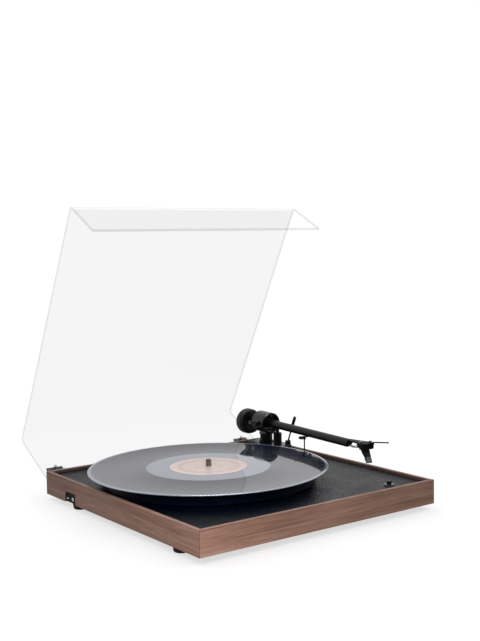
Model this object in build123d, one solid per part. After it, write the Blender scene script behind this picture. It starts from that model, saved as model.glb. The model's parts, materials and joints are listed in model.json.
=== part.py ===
from build123d import *
import os
from math import sin, cos, radians, hypot

os.makedirs("parts", exist_ok=True)

# ---------------------------------------------------------------- dimensions
W, D, H = 346.0, 362.0, 30.0      # wooden plinth: width, depth, height
T, RIM = 8.0, 4.6                 # thickness of the plinth boards, and of their rim beside the deck
FOOT_H = 7.0                      # rubber foot height
FOOT_X, FOOT_Y, FOOT_R = 12.5, 54.0, 72.0   # foot centres from the sides, the front and the rear
DECK_TOP, DECK_T = 26.0, 3.0      # deck lies below the rim
BOT_T = 3.0                       # bottom panel

RX, RY = 142.5, 194.5             # platter centre
R_REC, R_PLAT = 150.8, 136.0      # record and platter radius
Z_PLAT0, Z_PLAT1 = 27.8, 41.5     # platter underside and top
Z_MAT = 42.5                      # top of the slip mat
Z_REC = 44.0                      # top of the record
R_SUB = 70.0                      # belt ring of the sub-platter
R_SHAFT = 4.0                     # bearing shaft
R_PIN, R_NECK = 3.6, 3.35         # record spindle and its relieved neck under the record

MX, MY = 68.5, 268.5              # motor axis
R_PUL = 6.0                       # motor pulley

PX, PY, PZ = 320.0, 309.0, 63.7   # tonearm pivot
ARM_REST = 3.8                    # arm angle at rest, degrees
R_TUBE = 5.5
R_RING = 15.0                     # gimbal ring
HEAD_U, HEAD_OFF = 235.5, 19.0    # front edge of the headshell, offset angle
R_CW, L_CW, U_CW = 18.3, 15.5, 47.0

BX, BY = 295.5, 27.0              # push button
SW_Y0, SW_Y1, SW_Z = 281.0, 310.0, 13.4   # power switch notch

SHEET = 3.5                       # dust cover sheet
COV_AX_Y, COV_AX_Z = 374.0, 20.0  # cover hinge axis
COV_OPEN = 62.0                   # degrees from closed to the open rest pose
COV_TOP, COV_F, COV_R = 96.0, 14.5, 370.5
COV_END = 13.0                    # lower end of the rear strip
HINGE_X = (21.0, 325.0)           # hinge centres
CLIP_Z = 29.0                     # clip screws, drawn closed


# ------------------------------------------------------------------- helpers
def bx(x0, x1, y0, y1, z0, z1):
    return Pos((x0 + x1) / 2, (y0 + y1) / 2, (z0 + z1) / 2) * Box(x1 - x0, y1 - y0, z1 - z0)


def zc(x, y, z0, z1, r):
    return Pos(x, y, (z0 + z1) / 2) * Cylinder(r, z1 - z0)


def yc(x, z, y0, y1, r):
    return Pos(x, (y0 + y1) / 2, z) * Rot(90, 0, 0) * Cylinder(r, y1 - y0)


def xc(y, z, x0, x1, r):
    return Pos((x0 + x1) / 2, y, z) * Rot(0, 90, 0) * Cylinder(r, x1 - x0)


def prism(pts, z0, z1):
    return Pos(0, 0, z0) * extrude(make_face(Polyline(*pts, close=True)), amount=z1 - z0)


def side(pts, x0, x1):
    # closed outline of (y, z) points, extruded along x
    f = Plane.YZ * make_face(Polyline(*pts, close=True))
    return Pos(x0, 0, 0) * extrude(f, amount=x1 - x0)


def rrect(x0, x1, y0, y1, z0, z1, r):
    s = Pos((x0 + x1) / 2, (y0 + y1) / 2) * RectangleRounded(x1 - x0, y1 - y0, r)
    return Pos(0, 0, z0) * extrude(s, amount=z1 - z0)


def revolved(pts):
    # closed outline of (r, z) points about the z axis
    f = Plane.XZ * make_face(Polyline(*pts, close=True))
    return revolve(f, Axis.Z)


parts = {}

# -------------------------------------------------------------------- plinth
def board(pts, keep):
    b = prism(pts, 0, H) - bx(RIM, W - RIM, RIM, D - RIM, DECK_TOP - DECK_T, H + 1)   # the deck lies in a rabbet
    e = [e for e in b.edges() if keep(e.center()) and abs(e.center().Z - H) < 1e-6]
    return fillet(e, 0.9)


front = board([(0, 0), (W, 0), (W - T, T), (T, T)], lambda c: c.Y < 1e-6 or abs(c.Y - RIM) < 1e-6)
rear = board([(0, D), (T, D - T), (W - T, D - T), (W, D)], lambda c: abs(c.Y - D) < 1e-6 or abs(c.Y - D + RIM) < 1e-6)
left = board([(0, 0), (T, T), (T, D - T), (0, D)], lambda c: c.X < 1e-6 or abs(c.X - RIM) < 1e-6)
right = board([(W, 0), (W, D), (W - T, D - T), (W - T, T)], lambda c: abs(c.X - W) < 1e-6 or abs(c.X - W + RIM) < 1e-6)

left -= bx(-1, T + 1, SW_Y0, SW_Y1, -1, SW_Z)               # notch for the power switch
JX0, JX1 = 96.0, 184.0                                       # connector window
rear -= bx(JX0 + 4, JX1 - 4, D - T - 1, D + 1, 4.5, 18.0)
parts["front_board"] = front
parts["left_board"] = left
parts["right_board"] = right

deck = bx(RIM, W - RIM, RIM, D - RIM, DECK_TOP - DECK_T, DECK_TOP)
deck -= zc(RX, RY, 20, 30, 9.3)
deck -= zc(MX, MY, 20, 30, 9.0)
deck -= zc(BX, BY, 20, 30, 3.4)
deck -= zc(PX, PY, 20, 30, 5.0)
bottom = bx(T, W - T, T, D - T, 0, BOT_T)

BL = 18.0
blk = None
blk_c = []
for cx in (T, W - T - BL):
    for cy in (T, D - T - BL):
        b = bx(cx, cx + BL, cy, cy + BL, BOT_T, DECK_TOP - DECK_T)
        blk = b if blk is None else blk + b
        blk_c.append((cx + BL / 2, cy + BL / 2))
scr = None
for cx, cy in blk_c:
    bottom -= zc(cx, cy, -1, 4, 1.65) + Pos(cx, cy, 0.7) * Cone(3.2, 1.65, 1.6)
    blk -= zc(cx, cy, 2, 14, 1.62)
    s = zc(cx, cy, 1.4, 13, 1.6) + Pos(cx, cy, 0.75) * Cone(3.05, 1.6, 1.4)
    s -= bx(cx - 2.2, cx + 2.2, cy - 0.35, cy + 0.35, 0, 0.7)
    scr = s if scr is None else scr + s
parts["corner_blocks"] = blk

# rubber feet, each with a screw up into the bottom panel
feet = None
fscr = None
for fx, fy in ((FOOT_X, FOOT_Y), (W - FOOT_X, FOOT_Y), (FOOT_X, D - FOOT_R), (W - FOOT_X, D - FOOT_R)):
    f = revolved([(1.7, 0.0), (1.7, -4.0), (4.2, -4.0), (4.2, -FOOT_H), (8.4, -FOOT_H), (9.4, -FOOT_H + 1.0), (10.4, 0.0)])
    f = Pos(fx, fy, 0) * f
    s = zc(fx, fy, -4.0, 2.6, 1.6) + Pos(fx, fy, -4.9) * Cylinder(3.2, 1.8)
    s -= bx(fx - 2.4, fx + 2.4, fy - 0.4, fy + 0.4, -6.0, -5.1)
    hole = zc(fx, fy, -1, 2.7, 1.62)
    bottom -= hole
    feet = f if feet is None else feet + f
    fscr = s if fscr is None else fscr + s
parts["feet"] = feet
parts["base_screws"] = scr + fscr

# power switch in the left board: frame and rocker
sy = (SW_Y0 + SW_Y1) / 2
sw = bx(1.6, 20.0, SW_Y0 + 0.05, SW_Y1 - 0.05, BOT_T + 0.2, SW_Z - 0.05)
sw += bx(1.6, T - 0.05, SW_Y0 + 0.05, SW_Y1 - 0.05, 0.6, SW_Z - 0.05)
sw -= bx(0, 12.0, sy - 11.8, sy + 11.8, 3.3, SW_Z - 1.3)
sw -= zc(6.2, sy, 1.6, SW_Z - 0.5, 1.03)
sw += bx(20.0, 25.0, sy - 8, sy - 6.5, 5.0, 9.0) + bx(20.0, 25.0, sy + 6.5, sy + 8, 5.0, 9.0)
parts["switch_frame"] = sw
ROCK = 9.0
rk = prism([(0.4, 0.0), (-0.2, 10.6), (4.2, 11.0), (8.4, 4.5), (8.4, -4.5), (4.2, -11.0), (-0.2, -10.6)], 3.65, SW_Z - 1.65)
rk = fillet(rk.edges().filter_by(Axis.Z).sort_by(Axis.X)[:3], 0.8)
rk += zc(6.2, 0, 1.9, SW_Z - 0.8, 0.98)
parts["power_rocker"] = Pos(6.2, sy, 0) * Rot(0, 0, ROCK) * Pos(-6.2, 0, 0) * rk

# connector plate at the back with phono jacks, earth post and power inlet
jp = bx(JX0, JX1, D, D + 1.6, 1.5, 22.0)
jx = (114.0, 130.0)
for x in jx:
    jp -= yc(x, 11.0, D - 1, D + 3, 3.0)
jp -= yc(148.0, 11.0, D - 1, D + 3, 2.0)
jp -= yc(166.0, 11.0, D - 1, D + 3, 4.0)
for x in (JX0 + 3.6, JX1 - 3.6):
    jp -= yc(x, 17.0, D - 1, D + 3, 1.3)
    rear -= yc(x, 17.0, D - 6, D + 1, 1.3)
jk = None
for x in jx:
    j = yc(x, 11.0, D + 1.6, D + 2.8, 5.6) + yc(x, 11.0, D + 2.8, D + 11.0, 4.15) + yc(x, 11.0, D - 9.0, D + 1.6, 2.98)
    j -= yc(x, 11.0, D + 1.0, D + 12, 1.65)
    jk = j if jk is None else jk + j
parts["phono_jacks"] = jk
eb = yc(148.0, 11.0, D - 8.0, D + 10.0, 1.98) + yc(148.0, 11.0, D + 1.6, D + 3.0, 4.0) + yc(148.0, 11.0, D + 5.0, D + 9.0, 4.4)
parts["earth_post"] = eb
dc = yc(166.0, 11.0, D - 10.0, D + 1.6, 3.98) + yc(166.0, 11.0, D + 1.6, D + 3.0, 5.4)
dc -= yc(166.0, 11.0, D - 7.0, D + 4, 2.9)
dc += yc(166.0, 11.0, D - 8.0, D + 1.0, 1.0)
parts["power_inlet"] = dc
js = None
for x in (JX0 + 3.6, JX1 - 3.6):
    s = yc(x, 17.0, D - 5.5, D + 1.6, 1.28) + yc(x, 17.0, D + 1.6, D + 3.0, 2.4)
    s -= bx(x - 1.8, x + 1.8, D + 2.3, D + 4, 16.7, 17.3)
    js = s if js is None else js + s
parts["jack_panel"] = jp

# control board on pillars
pcb = bx(206, 296, 296, 346, 8.0, 9.6)
pcb += bx(214, 236, 302, 322, 9.6, 16.0) + zc(250, 312, 9.6, 20.0, 5.0) + zc(264, 312, 9.6, 20.0, 5.0) + bx(276, 290, 326, 340, 9.6, 17.0)
so = None
for x in (210, 292):
    for y in (300, 342):
        pcb -= zc(x, y, 7, 11, 1.5)
        s = zc(x, y, BOT_T, 8.0, 3.0) + zc(x, y, 8.0, 9.6, 1.48) + zc(x, y, 9.6, 10.6, 1.48)
        so = s if so is None else so + s
parts["circuit_board"] = pcb
bottom += so

# ------------------------------------------------- platter, bearing and drive
hs = zc(RX, RY, 3.6, DECK_TOP, 9.2) + zc(RX, RY, DECK_TOP, DECK_TOP + 2.0, 22.0)
hs -= zc(RX, RY, 6.0, 40, R_SHAFT + 0.04)
bh = None
for k in range(3):
    a = radians(90 + 120 * k)
    x, y = RX + 16.5 * cos(a), RY + 16.5 * sin(a)
    hs -= zc(x, y, 20, 30, 1.5)
    deck -= zc(x, y, 20, 30, 1.5)
    s = zc(x, y, 22.0, DECK_TOP + 2.0, 1.48) + zc(x, y, DECK_TOP + 2.0, DECK_TOP + 3.4, 2.7)
    s -= bx(x - 2, x + 2, y - 0.3, y + 0.3, DECK_TOP + 2.8, DECK_TOP + 4)
    bh = s if bh is None else bh + s
parts["bearing_housing"] = hs
parts["thrust_ball"] = Pos(RX, RY, 9.03) * Sphere(3.0)

sp = zc(RX, RY, 12.1, Z_PLAT1, R_SHAFT) + zc(RX, RY, Z_PLAT1, Z_REC + 0.3, R_NECK) + zc(RX, RY, Z_REC + 0.3, 52.0, R_PIN)
sp += Pos(RX, RY, 52.0) * revolved([(0, 0), (R_PIN, 0), (3.3, 0.7), (2.3, 1.25), (0, 1.5)])
parts["spindle"] = sp
sub = Pos(RX, RY, 0) * revolved([(R_SHAFT + 0.01, 29.2), (11, 29.2), (11, 33.0), (62, 33.0), (62, 29.2), (R_SUB, 29.2), (R_SUB, 36.5), (R_SHAFT + 0.01, 36.5)])
parts["sub_platter"] = sub
plat = Pos(RX, RY, 0) * revolved([(R_SHAFT + 0.01, 36.5), (R_PLAT - 8.5, 36.5), (R_PLAT - 8.5, Z_PLAT0), (R_PLAT - 0.8, Z_PLAT0), (R_PLAT, Z_PLAT0 + 0.8), (R_PLAT, Z_PLAT1 - 1.0), (R_PLAT - 1.0, Z_PLAT1), (R_SHAFT + 0.01, Z_PLAT1)])
parts["platter"] = plat
mat = Pos(RX, RY, 0) * revolved([(3.7, Z_PLAT1), (R_PLAT - 2.5, Z_PLAT1), (R_PLAT - 2.5, Z_MAT - 0.2), (R_PLAT - 2.7, Z_MAT), (52, Z_MAT), (52, 42.2), (3.7, 42.2)])
parts["slip_mat"] = mat
rec = Pos(RX, RY, 0) * revolved([(R_PIN + 0.05, Z_MAT), (52.5, Z_MAT), (54, Z_MAT + 0.02), (R_REC - 0.9, Z_MAT + 0.02), (R_REC - 0.25, Z_MAT + 0.3), (R_REC, 43.25), (R_REC - 0.2, 43.75), (R_REC - 0.8, Z_REC), (R_REC - 3.5, Z_REC), (R_REC - 5.0, 43.8), (60.0, 43.8), (52.0, 43.95), (R_PIN + 0.05, 43.95)])
parts["record"] = rec
lab = Pos(RX, RY, 0) * revolved([(R_PIN + 0.05, 43.95), (49.5, 43.95), (49.5, 44.1), (R_PIN + 0.05, 44.1)])
lab += Pos(RX, RY, 0) * revolved([(R_PIN + 0.12, 42.32), (49.5, 42.32), (49.5, Z_MAT), (R_PIN + 0.12, Z_MAT)])
parts["record_labels"] = lab

mot = zc(MX, MY, 4.2, DECK_TOP - DECK_T - 0.01, 16.0) + zc(MX, MY, DECK_TOP - DECK_T - 0.01, DECK_TOP - 0.4, 5.0)
mot -= zc(MX, MY, 6.0, 40, 1.28)
ms = None
for dx in (-12.5, 12.5):
    mot -= zc(MX + dx, MY, 15, 24, 1.3)
    deck -= zc(MX + dx, MY, 20, 30, 1.3)
    s = zc(MX + dx, MY, 17, DECK_TOP, 1.28) + zc(MX + dx, MY, DECK_TOP, DECK_TOP + 1.5, 2.5)
    s -= bx(MX + dx - 2, MX + dx + 2, MY - 0.3, MY + 0.3, DECK_TOP + 0.9, DECK_TOP + 3)
    ms = s if ms is None else ms + s
parts["motor"] = mot
parts["motor_shaft"] = zc(MX, MY, 6.5, 35.0, 1.25)
parts["motor_pulley"] = Pos(MX, MY, 0) * revolved([(1.26, 27.6), (7.4, 27.6), (7.4, 28.6), (R_PUL, 29.4), (R_PUL, 34.4), (7.4, 35.2), (7.4, 36.0), (1.26, 36.0)])


def loop(ra, rb):
    # outline of a belt round two wheels
    d = hypot(MX - RX, MY - RY)
    ux, uy = (MX - RX) / d, (MY - RY) / d
    c = (ra - rb) / d
    s = (1 - c * c) ** 0.5
    n1 = (ux * c - uy * s, uy * c + ux * s)
    n2 = (ux * c + uy * s, uy * c - ux * s)
    a1 = (RX + ra * n1[0], RY + ra * n1[1])
    b1 = (MX + rb * n1[0], MY + rb * n1[1])
    a2 = (RX + ra * n2[0], RY + ra * n2[1])
    b2 = (MX + rb * n2[0], MY + rb * n2[1])
    e = [Line(a1, b1), ThreePointArc(b1, (MX + rb * ux, MY + rb * uy), b2), Line(b2, a2), ThreePointArc(a2, (RX - ra * ux, RY - ra * uy), a1)]
    return make_face(Curve() + e)


belt = Pos(0, 0, 29.9) * extrude(loop(R_SUB + 0.7, R_PUL + 0.7) - loop(R_SUB + 0.06, R_PUL + 0.06), amount=4.0)
parts["drive_belt"] = belt

# ----------------------------------------------------------- push button
parts["button_bezel"] = Pos(BX, BY, 0) * revolved([(3.3, DECK_TOP), (6.6, DECK_TOP), (6.6, DECK_TOP + 0.5), (5.9, DECK_TOP + 1.5), (3.9, DECK_TOP + 1.9), (3.3, DECK_TOP + 1.9)])
bt = zc(BX, BY, 20.5, 31.6, 3.1)
bt = chamfer(bt.edges().group_by(Axis.Z)[-1], 0.5)
parts["start_button"] = bt
parts["button_switch"] = bx(BX - 7, BX + 7, BY - 7, BY + 7, BOT_T, 15.0) + zc(BX, BY, 15.0, 17.3, 2.0)

# ---------------------------------------------------------- tonearm, fixed side
base = rrect(299, 336, 266, 330, DECK_TOP, 35.5, 7.0)
base = fillet(base.edges().group_by(Axis.Z)[-1], 0.8)
base -= zc(PX, PY, 20, 40, 3.04)
bs = None
for x, y in ((304.0, 324.0), (331.0, 324.5), (304.0, 272.0)):
    base -= zc(x, y, 20, 40, 1.5) + zc(x, y, 34.2, 40, 2.9)
    deck -= zc(x, y, 20, 30, 1.5)
    s = zc(x, y, 21.5, 34.2, 1.48) + zc(x, y, 34.2, 35.4, 2.8)
    s -= Pos(x, y, 35.2) * extrude(RegularPolygon(1.4, 6), amount=-0.8)
    bs = s if bs is None else bs + s
pil = zc(PX, PY, 35.5, 46.2, 9.0) + zc(PX, PY, 35.5, 37.2, 10.6)
pil = chamfer(pil.edges().group_by(Axis.Z)[-1], 0.6)
pil -= zc(PX, PY, 30, 50, 3.04)
parts["pivot_pillar"] = pil

LU, LA = 22.0, 10.8                                  # lift pillar: distance and angle from pivot
LX, LY = PX + LU * sin(radians(LA)), PY - LU * cos(radians(LA))
lc = zc(LX, LY, 35.5, 50.8, 6.0)
lc = chamfer(lc.edges().group_by(Axis.Z)[-1], 0.5)
lc -= zc(LX, LY, 36.5, 60, 2.55)
parts["lift_cylinder"] = lc

VX, VY, VZ = 332.4, 274.0, 38.4                      # cue lever axis
LEAN = 24.0                                          # lean of the lever at rest
lb = None
for x0 in (VX - 3.2, VX + 1.7):
    e = bx(x0, x0 + 1.5, VY - 2.4, VY + 2.4, 35.5, VZ) + xc(VY, VZ, x0, x0 + 1.5, 2.4)
    e -= xc(VY, VZ, x0 - 1, x0 + 4, 1.02)
    lb = e if lb is None else lb + e
lever_pin = xc(VY, VZ, VX - 3.4, VX + 3.4, 1.0)
parts["arm_base"] = base + lb
parts["deck_screws"] = bh + ms + bs

# -------------------------------------------------------- tonearm, moving side
A = Pos(PX, PY, PZ) * Rot(0, 0, -ARM_REST)           # forward is -Y, outward is +X
ring = yc(0, 0, -14.0, 16.0, R_RING)
ring = chamfer(ring.edges().filter_by(GeomType.CIRCLE), 0.9)
ring -= yc(0, 0, -15, 17, R_RING - 2.6)
ring -= xc(0, 0, -22, 22, 2.52) + xc(0, 0, 14.3, 22, 4.02) + xc(0, 0, -22, -14.3, 4.02)
parts["gimbal_ring"] = A * ring
yoke = zc(0, 0, -17.1, -R_RING - 0.1, 10.2)
yoke = chamfer(yoke.edges().filter_by(GeomType.CIRCLE), 0.3)
yoke += bx(-6.0, 6.0, -8, 8, -15.6, -9.0) - yc(0, 0, -20, 20, R_RING + 0.04)
yoke += zc(0, 0, -36.0, -16.6, 3.0)
parts["pivot_yoke"] = A * yoke
ps = None
for s in (-1, 1):
    b = xc(0, 0, 14.3, 19.8, 4.0)
    b = chamfer(b.edges().group_by(Axis.X)[-1], 0.6)
    b += xc(0, 0, 8.9, 14.3, 2.5) + xc(0, 0, 6.5, 8.9, 1.2)
    b -= bx(18.9, 21, -2.6, 2.6, -0.5, 0.5)
    b = Rot(0, 0, 0 if s > 0 else 180) * b
    ps = b if ps is None else ps + b
parts["pivot_screws"] = A * ps

hub = yc(0, 0, -8, 8, 8.2)
hub = chamfer(hub.edges().filter_by(GeomType.CIRCLE), 0.6)
hub -= yc(0, 0, -10, 10, R_TUBE + 0.01) + xc(0, 0, 6.1, 10, 1.25) + xc(0, 0, -10, -6.1, 1.25)
parts["pivot_hub"] = A * hub
tube = yc(0, 0, -200, 9, R_TUBE) - yc(0, 0, -201, 10, 4.5)
tube -= side([(-193, -6), (-198.5, 3.0), (-199.5, 6.5), (-210, 6.5), (-210, -6)], -7, 7)
parts["arm_tube"] = A * tube
stub = yc(0, 0, -12, 9, 4.48) + yc(0, 0, 9, 56.0, 4.0)
stub = chamfer(stub.edges().group_by(Axis.Y)[-1], 0.7)
parts["counterweight_shaft"] = A * stub
cw = yc(0, -5.0, U_CW - L_CW / 2, U_CW + L_CW / 2, R_CW)
cw = chamfer(cw.edges().filter_by(GeomType.CIRCLE), 1.2)
cw -= yc(0, 0, 20, 70, 4.05)
parts["counterweight"] = A * cw

HB = 3.4                                             # half width of the lower cartridge body
FL_TILT = 5.0                                        # droop of the finger lift
# headshell: a plug in the tube that flattens into the cartridge plate
plug = yc(0, 0, -199, -166, 4.47) & bx(-6, 6, -200, -160, 1.2, 6)
plate = prism([(-3.4, -196), (-4.4, -208), (-4.8, -220), (-8.2, -232.6), (8.2, -238.2), (12.3, -226.6), (7.2, -212), (3.4, -196)], 3.2, 5.0)
plate = fillet(plate.edges().filter_by(Axis.Z).sort_by(Axis.Y)[:3], 1.0)
hsl = plug + (plate - yc(0, 0, -201, 10, R_TUBE + 0.04))
HD = Pos(0, -HEAD_U, 0) * Rot(0, 0, -HEAD_OFF)       # front edge at y = 0, forward is -Y
for x in (-6.35, 6.35):
    hsl -= HD * zc(x, 9.5, 0, 8, 1.22)
parts["headshell"] = A * hsl
parts["finger_lift"] = A * HD * (bx(2.4, 8.2, 1.3, 3.9, 5.0, 6.3) + Pos(8.0, 2.6, 6.0) * (Rot(0, FL_TILT, 0) * (xc(0, 0, 0.0, 20.0, 0.85) + Pos(20.0, 0, 0) * Sphere(1.05)) + Sphere(0.85)))

cb = HD * (rrect(-8.6, 8.6, 2.2, 19.5, -2.0, 3.2, 1.0))
low = side([(20.5, -2.0), (5.6, -2.0), (-1.2, -11.4), (6.5, -12.6), (17.5, -7.5)], -HB, HB)
cb += HD * low
for x in (-6.35, 6.35):
    cb -= HD * zc(x, 9.5, -10, 8, 1.22)
for x in (-5.0, -1.7, 1.7, 5.0):
    cb += HD * yc(x, 0.2, 19.0, 23.5, 0.5)
parts["cartridge_body"] = A * cb
cs = None
for x in (-6.35, 6.35):
    s = zc(x, 9.5, -3.8, 5.0, 1.2) + zc(x, 9.5, 5.0, 6.9, 2.0)
    s -= bx(x - 3, x + 3, 9.2, 9.8, 6.3, 8)
    s += zc(x, 9.5, -3.6, -2.0, 1.2)
    n = Pos(x, 9.5, -3.7) * extrude(RegularPolygon(2.4, 6), amount=1.7) - low
    s = s + n
    cs = s if cs is None else cs + s
cs = (HD * cs) - cb
parts["cartridge_screws"] = A * cs
sty = side([(6.3, -12.7), (-1.0, -11.6), (-3.4, -15.0), (1.2, -16.4)], -HB + 0.7, HB - 0.7)
sty += side([(-0.4, -16.0), (-2.6, -18.6), (-2.0, -18.7), (0.6, -16.2)], -0.5, 0.5)
sty += Pos(0, -2.3, -18.65) * Cone(0.15, 0.45, 0.9)
parts["stylus"] = A * HD * sty
guard = side([(1.0, -11.9), (-1.55, -11.35), (-5.6, -16.6), (-4.6, -18.5), (-2.2, -19.1), (3.4, -16.0), (5.6, -13.0)], -HB, HB)
guard -= side([(6.6, -12.72), (-1.3, -11.2), (-4.6, -16.4), (-3.6, -19.6), (2.6, -18.6)], -HB + 0.68, HB - 0.68)
parts["stylus_guard"] = A * HD * (guard - HD.inverse() * HD * sty - low)

# four fine leads from the tube to the pins of the cartridge
leads = None
HDc, HDs = cos(radians(HEAD_OFF)), sin(radians(HEAD_OFF))
for i, x in enumerate((-5.0, -1.7, 1.7, 5.0)):
    ex, ey = x * HDc + 24.0 * HDs - 0.2 * 0, -HEAD_U - x * HDs + 24.0 * HDc
    ex0, ey0 = x * HDc + 23.5 * HDs, -HEAD_U - x * HDs + 23.5 * HDc
    sx = -2.4 + 1.6 * i
    p = [(sx, -180.0, -1.6), (sx, -196.5, -2.0), (sx * 0.6 + ex * 0.5, -203.0, -4.6 - 0.6 * i), (ex + 1.6 * HDs, ey + 5.0 * HDc, -1.2), (ex0, ey0, 0.2)]
    path = FilletPolyline(*p, radius=1.4)
    w = sweep(Plane(path @ 0, z_dir=path % 0) * Circle(0.32), path=path)
    leads = w if leads is None else leads + w
leads = leads - cb - hsl
parts["cartridge_leads"] = A * leads

# arm rest: thin post with an open clip, 96 mm along the arm, and the outer cheek of the clip
U_R = 96.0
post = zc(0, -U_R, DECK_TOP - PZ, -10.0, 0.9) + zc(0, -U_R, DECK_TOP - PZ, DECK_TOP - PZ + 2.0, 5.0)
post += Pos(0, -U_R, -9.6) * Cone(1.0, 2.6, 4.6)
post += bx(-6.0, 6.7, -U_R - 2.4, -U_R + 2.4, -7.8, -6.4)
post += yc(-6.0, -8.0, -U_R - 2.8, -U_R + 2.8, 2.0)
cheek = bx(6.75, 8.3, -U_R - 2.4, -U_R + 2.4, -7.8, 1.0)
cheek = fillet(cheek.edges().filter_by(Axis.Y).group_by(Axis.Z)[-1], 0.7)
parts["arm_rest"] = A * (post + cheek)

# cue lift: piston and curved lift bar under the tube
arc = revolve(Plane.XZ * Pos(22.1, 0) * Rectangle(5.0, 2.4), Axis.Z, revolution_arc=68)
arc = Pos(PX, PY, 56.4) * Rot(0, 0, 270 - 50) * arc
lift = arc + zc(LX, LY, 38.0 + 3.2, 56.0, 2.5)
parts["lift_bar"] = lift

grip = chamfer(zc(0, 0, 28.0, 41.4, 2.2).edges().filter_by(GeomType.CIRCLE), 0.5)
lev = xc(0, 0, -1.5, 1.5, 2.3) + zc(0, 0, 1.5, 29.0, 1.1) + grip
lev = lev - xc(0, 0, -5, 5, 1.05)
parts["cue_lever"] = Pos(VX, VY, VZ) * Rot(LEAN, 0, 0) * lev

# ------------------------------------------------------------------ dust cover
pts = [(COV_R, COV_END), (COV_R, COV_TOP), (COV_F, COV_TOP), (COV_F, 31.0), (COV_F + SHEET, 31.0), (COV_F + SHEET, COV_TOP - SHEET), (COV_R - SHEET, COV_TOP - SHEET), (COV_R - SHEET, COV_END)]
cf = make_face(Polyline(*pts, close=True))


def near(f, p):
    return [v for v in f.vertices() if abs(v.X - p[0]) < 1e-4 and abs(v.Y - p[1]) < 1e-4]


cf = fillet(near(cf, pts[1]) + near(cf, pts[2]), 7.5)
cf = fillet(near(cf, pts[5]) + near(cf, pts[6]), 4.0)
cov = extrude(Plane.YZ * cf, amount=W)
cov -= bx(JX0 - 4, JX1 + 4, COV_R - SHEET - 2, COV_R + 2, 10, 20.5)   # clear of the sockets
OPEN = Pos(0, COV_AX_Y, COV_AX_Z) * Rot(-COV_OPEN, 0, 0) * Pos(0, -COV_AX_Y, -COV_AX_Z)
hb = hp = hc = hsb = hsc = None
for hx in HINGE_X:
    x0, x1 = hx - 11.0, hx + 11.0
    cov -= bx(x0 - 1.0, x1 + 1.0, COV_R - SHEET - 2, COV_R + 2, 10, 25.6)
    cov -= yc(hx, CLIP_Z, COV_R - 10, COV_R + 10, 1.6)
    # fixed bracket on the back of the rear board
    b = bx(x0, x1, D, D + 1.8, 6.0, 25.0)
    for a, c in ((x0, x0 + 5.6), (x1 - 5.6, x1)):
        b += bx(a, c, D + 1.8, COV_AX_Y, COV_AX_Z - 4.0, COV_AX_Z + 3.6) + xc(COV_AX_Y, COV_AX_Z, a, c, 4.0)
    b -= xc(COV_AX_Y, COV_AX_Z, x0 - 1, x1 + 1, 1.52)
    for dx in (-6.0, 6.0):
        b -= yc(hx + dx, 10.0, D - 1, D + 3, 1.5)
        rear -= yc(hx + dx, 10.0, D - 6.5, D + 1, 1.5)
        s = yc(hx + dx, 10.0, D - 6.0, D + 1.8, 1.48) + yc(hx + dx, 10.0, D + 1.8, D + 3.2, 2.6)
        s -= bx(hx + dx - 2, hx + dx + 2, D + 2.6, D + 4, 9.7, 10.3)
        hsb = s if hsb is None else hsb + s
    p = xc(COV_AX_Y, COV_AX_Z, x0 - 0.6, x1 + 0.6, 1.5)
    # clip screwed to the outer face of the sheet, drawn closed
    n0, n1 = hx - 5.0, hx + 5.0
    c = xc(COV_AX_Y, COV_AX_Z, n0, n1, 4.0)
    c += bx(n0, n1, COV_R + 0.02, COV_AX_Y, 21.6, 26.0)
    c += bx(x0, x1, COV_R + 0.02, COV_R + 2.4, 25.5, 32.0)
    c -= xc(COV_AX_Y, COV_AX_Z, n0 - 1, n1 + 1, 1.56)
    c -= yc(hx, CLIP_Z, COV_R - 10, COV_R + 10, 1.6)
    sc = yc(hx, CLIP_Z, COV_R - SHEET, COV_R + 2.4, 1.58) + yc(hx, CLIP_Z, COV_R - SHEET - 1.2, COV_R - SHEET, 2.2) + yc(hx, CLIP_Z, COV_R + 2.4, COV_R + 3.6, 2.2)
    sc -= bx(hx - 2.0, hx + 2.0, COV_R - SHEET - 4, COV_R - SHEET - 0.7, CLIP_Z - 0.3, CLIP_Z + 0.3)
    hb = b if hb is None else hb + b
    hp = p if hp is None else hp + p
    hc = c if hc is None else hc + c
    hsc = sc if hsc is None else hsc + sc
parts["cover_sheet"] = OPEN * cov
parts["hinge_clips"] = OPEN * hc
parts["clip_screws"] = OPEN * hsc
parts["hinge_brackets"] = hb
parts["hinge_pins"] = hp + lever_pin
parts["back_screws"] = hsb + js
bump = None
for x in (RIM / 2, W - RIM / 2):
    b = zc(x, COV_F + SHEET / 2, H, H + 0.6, 1.3)
    bump = b if bump is None else bump + b
parts["cover_bumpers"] = bump

parts["rear_board"] = rear
parts["deck_panel"] = deck
parts["bottom_panel"] = bottom

# ------------------------------------------------ shift into the part's frame
bb = [p.bounding_box() for p in parts.values()]
CX = (min(b.min.X for b in bb) + max(b.max.X for b in bb)) / 2
CY = (min(b.min.Y for b in bb) + max(b.max.Y for b in bb)) / 2
print("origin in plinth frame", round(CX, 4), round(CY, 4), -FOOT_H)
for name, p in parts.items():
    export_step(Pos(-CX, -CY, FOOT_H) * p, "parts/" + name + ".step")
print(len(parts), "nodes")
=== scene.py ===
import json
import math

import bpy
import bmesh
from mathutils import Vector, Matrix

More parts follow.
